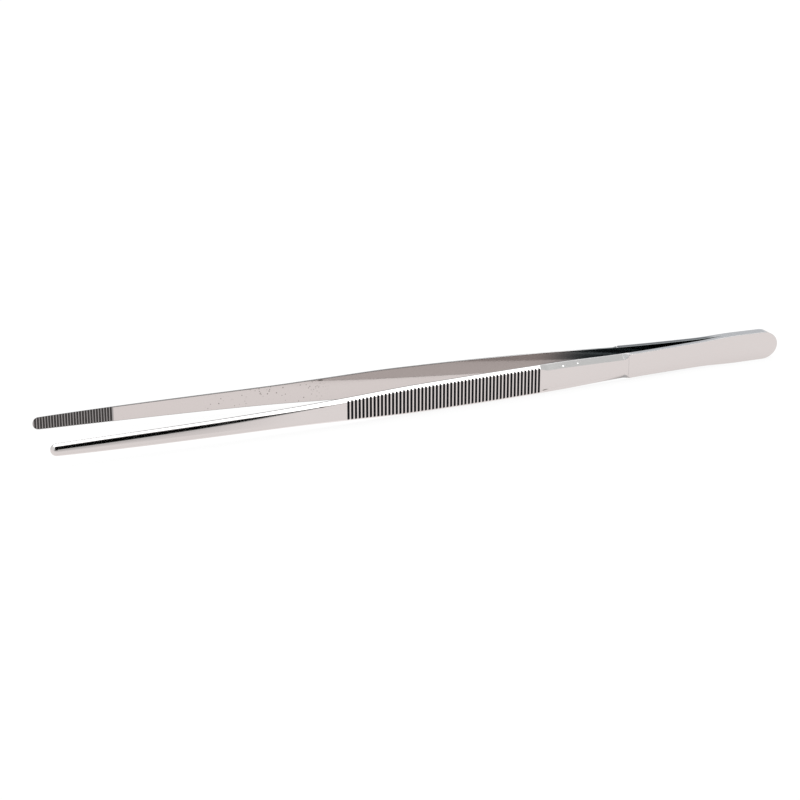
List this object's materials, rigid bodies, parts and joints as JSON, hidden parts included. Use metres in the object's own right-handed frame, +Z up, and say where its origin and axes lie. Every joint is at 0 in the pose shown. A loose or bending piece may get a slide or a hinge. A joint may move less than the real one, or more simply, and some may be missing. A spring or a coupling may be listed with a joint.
{
  "type": "thumb forceps",
  "caption": "Long straight thumb forceps: steel arms welded at the heel, cross-grooved grips and serrated jaws.",
  "frame": {"origin": "centre of the bounding box's underside, on the surface that the forceps rest on, in the weld plane", "axes": "+X along the forceps towards the welded heel, +Y across the gap towards the rear arm, +Z up along the width of the arms"},
  "size_m": [0.3, 0.0332, 0.0115],
  "materials": {
    "stainless_steel": "satin ground faces, polished shank and bevels"
  },
  "bodies": {
    "root": {"rear_arm": "stainless_steel", "front_arm": "stainless_steel"}
  },
  "joints": []
}
